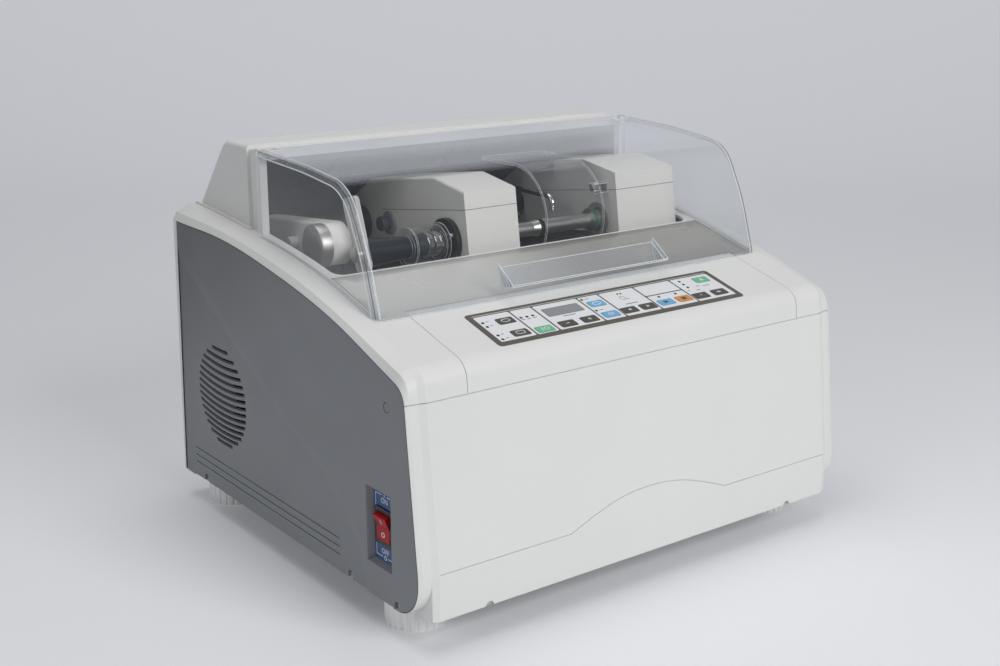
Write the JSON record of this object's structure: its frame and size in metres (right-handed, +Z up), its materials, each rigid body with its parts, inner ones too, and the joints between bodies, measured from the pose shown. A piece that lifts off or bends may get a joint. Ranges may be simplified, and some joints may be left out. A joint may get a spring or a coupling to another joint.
{
  "type": "optical lens edger",
  "caption": "Benchtop lens edger: clear hinged hood over a chuck head that slides and swings above grinding wheels, sloping keypad deck, side rocker switch, vented side panels and rear housing.",
  "frame": {"origin": "on the floor under the middle of the cabinet's bounding box", "axes": "+Z up, -Y towards the operator at the keypad, +X towards the operator's right"},
  "size_m": [0.54, 0.484, 0.41],
  "materials": {
    "white_shell": "fine satin texture",
    "grey_panel": "fine satin texture",
    "clear_hood": "clear polished sheet",
    "clear_guard": "clear polished sheet",
    "head_casting": "painted casting",
    "dark_tube": "dark turned metal",
    "tub_plastic": "moulded, satin",
    "pan_sheet": "powder coat",
    "black_plastic": "moulded, satin",
    "foot_plastic": "moulded, satin",
    "rocker_plastic": "moulded, glossy red",
    "overlay_film": "printed film",
    "display_window": "display glass",
    "led_lens": "lamp lens",
    "dark_key": "embossed key",
    "green_key": "embossed key",
    "blue_key": "embossed key",
    "orange_key": "embossed key",
    "ground_steel": "ground",
    "chrome_tube": "polished",
    "black_flange": "black",
    "gauge_metal": "dark finish",
    "wheel_rim": "abrasive rim",
    "cast_housing": "cast",
    "motor_paint": "paint",
    "pulley_metal": "turned",
    "belt_rubber": "rubber",
    "spigot_plastic": "moulded",
    "screw_steel": "plated"
  },
  "bodies": {
    "cabinet": {"base_pan": "pan_sheet", "feet": "foot_plastic", "left_side_panel": "grey_panel", "right_side_panel": "grey_panel", "front_panel": "white_shell", "front_skirt": "white_shell", "top_cover": "white_shell", "control_deck": "white_shell", "rear_housing": "white_shell", "back_panel": "white_shell", "chamber_tub": "tub_plastic", "keypad_overlay": "overlay_film", "display_window": "display_window", "indicator_leds": "led_lens", "switch_bezel": "black_plastic", "drive_motor": "motor_paint", "spindle_housing": "cast_housing", "power_inlet": "black_plastic", "hose_spigots": "spigot_plastic", "shaft_brackets": "cast_housing", "water_nozzle": "chrome_tube", "panel_screws": "screw_steel", "fan_frame": "black_plastic", "drive_belt": "belt_rubber"},
    "visor": {"visor": "clear_hood", "hinge_pins": "ground_steel"},
    "power_rocker": {"power_rocker": "rocker_plastic"},
    "key_shape_upper": {"key_shape_upper": "dark_key"},
    "key_shape_lower": {"key_shape_lower": "dark_key"},
    "key_mode": {"key_mode": "green_key"},
    "key_minus": {"key_minus": "dark_key"},
    "key_plus": {"key_plus": "dark_key"},
    "key_size_upper": {"key_size_upper": "blue_key"},
    "key_size_lower": {"key_size_lower": "blue_key"},
    "key_left": {"key_left": "dark_key"},
    "key_right": {"key_right": "dark_key"},
    "key_start": {"key_start": "blue_key"},
    "key_stop": {"key_stop": "orange_key"},
    "key_water": {"key_water": "green_key"},
    "key_head_left": {"key_head_left": "dark_key"},
    "key_head_right": {"key_head_right": "dark_key"},
    "traverse": {"pivot_shaft": "ground_steel"},
    "head": {"left_head_housing": "head_casting", "left_head_lid": "head_casting", "right_head_housing": "head_casting", "right_head_lid": "head_casting", "pivot_tube": "dark_tube", "bearing_flange": "black_flange", "sight_tube": "clear_guard", "shaft_sleeve": "black_flange", "gauge_plate": "gauge_metal", "outboard_arm": "head_casting", "splash_guard": "clear_guard"},
    "left_chuck": {"left_chuck_shaft": "ground_steel"},
    "clamp_quill": {"clamp_quill": "ground_steel"},
    "right_chuck": {"right_chuck_shaft": "ground_steel"},
    "spindle": {"wheel_spindle": "ground_steel", "grinding_wheels": "wheel_rim"},
    "motor_rotor": {"motor_pulley": "pulley_metal"},
    "fan_rotor": {"fan_rotor": "black_plastic"}
  },
  "joints": [
    {"name": "visor_hinge", "type": "hinge", "parent": "cabinet", "child": "visor", "pos_m": [0, 0.074, 0.4025], "axis": [-1, 0, 0], "range_deg": [0, 112]},
    {"name": "power_rocker_tilt", "type": "hinge", "parent": "cabinet", "child": "power_rocker", "pos_m": [-0.263, -0.174, 0.1], "axis": [0, 1, 0], "range_deg": [0, 20]},
    {"name": "key_shape_upper_press", "type": "slide", "parent": "cabinet", "child": "key_shape_upper", "axis": [0, 0.2607, -0.9654], "range_m": [0, 0.0005], "stiffness_N_per_m": 600},
    {"name": "key_shape_lower_press", "type": "slide", "parent": "cabinet", "child": "key_shape_lower", "axis": [0, 0.2607, -0.9654], "range_m": [0, 0.0005], "stiffness_N_per_m": 600},
    {"name": "key_mode_press", "type": "slide", "parent": "cabinet", "child": "key_mode", "axis": [0, 0.2607, -0.9654], "range_m": [0, 0.0005], "stiffness_N_per_m": 600},
    {"name": "key_minus_press", "type": "slide", "parent": "cabinet", "child": "key_minus", "axis": [0, 0.2607, -0.9654], "range_m": [0, 0.0005], "stiffness_N_per_m": 600},
    {"name": "key_plus_press", "type": "slide", "parent": "cabinet", "child": "key_plus", "axis": [0, 0.2607, -0.9654], "range_m": [0, 0.0005], "stiffness_N_per_m": 600},
    {"name": "key_size_upper_press", "type": "slide", "parent": "cabinet", "child": "key_size_upper", "axis": [0, 0.2607, -0.9654], "range_m": [0, 0.0005], "stiffness_N_per_m": 600},
    {"name": "key_size_lower_press", "type": "slide", "parent": "cabinet", "child": "key_size_lower", "axis": [0, 0.2607, -0.9654], "range_m": [0, 0.0005], "stiffness_N_per_m": 600},
    {"name": "key_left_press", "type": "slide", "parent": "cabinet", "child": "key_left", "axis": [0, 0.2607, -0.9654], "range_m": [0, 0.0005], "stiffness_N_per_m": 600},
    {"name": "key_right_press", "type": "slide", "parent": "cabinet", "child": "key_right", "axis": [0, 0.2607, -0.9654], "range_m": [0, 0.0005], "stiffness_N_per_m": 600},
    {"name": "key_start_press", "type": "slide", "parent": "cabinet", "child": "key_start", "axis": [0, 0.2607, -0.9654], "range_m": [0, 0.0005], "stiffness_N_per_m": 600},
    {"name": "key_stop_press", "type": "slide", "parent": "cabinet", "child": "key_stop", "axis": [0, 0.2607, -0.9654], "range_m": [0, 0.0005], "stiffness_N_per_m": 600},
    {"name": "key_water_press", "type": "slide", "parent": "cabinet", "child": "key_water", "axis": [0, 0.2607, -0.9654], "range_m": [0, 0.0005], "stiffness_N_per_m": 600},
    {"name": "key_head_left_press", "type": "slide", "parent": "cabinet", "child": "key_head_left", "axis": [0, 0.2607, -0.9654], "range_m": [0, 0.0005], "stiffness_N_per_m": 600},
    {"name": "key_head_right_press", "type": "slide", "parent": "cabinet", "child": "key_head_right", "axis": [0, 0.2607, -0.9654], "range_m": [0, 0.0005], "stiffness_N_per_m": 600},
    {"name": "head_traverse", "type": "slide", "parent": "cabinet", "child": "traverse", "axis": [1, 0, 0], "range_m": [-0.022, 0]},
    {"name": "head_swing", "type": "hinge", "parent": "traverse", "child": "head", "pos_m": [0, 0.176, 0.3], "axis": [1, 0, 0], "range_deg": [0, 6]},
    {"name": "left_chuck_spin", "type": "hinge", "parent": "head", "child": "left_chuck", "pos_m": [0, 0.006, 0.3075], "axis": [1, 0, 0], "continuous": true},
    {"name": "clamp_slide", "type": "slide", "parent": "head", "child": "clamp_quill", "axis": [1, 0, 0], "range_m": [0, 0.02]},
    {"name": "right_chuck_spin", "type": "hinge", "parent": "clamp_quill", "child": "right_chuck", "pos_m": [0, 0.006, 0.3075], "axis": [1, 0, 0], "continuous": true},
    {"name": "spindle_spin", "type": "hinge", "parent": "cabinet", "child": "spindle", "pos_m": [0, 0.015, 0.215], "axis": [1, 0, 0], "continuous": true},
    {"name": "motor_spin", "type": "hinge", "parent": "cabinet", "child": "motor_rotor", "pos_m": [0.2, 0.06, 0.095], "axis": [1, 0, 0], "continuous": true},
    {"name": "fan_spin", "type": "hinge", "parent": "cabinet", "child": "fan_rotor", "pos_m": [-0.255, 0.137, 0.142], "axis": [1, 0, 0], "continuous": true}
  ],
  "couplings": [
    {"joint": "right_chuck_spin", "follows": "left_chuck_spin", "ratio": 1},
    {"joint": "motor_spin", "follows": "spindle_spin", "ratio": 1}
  ]
}
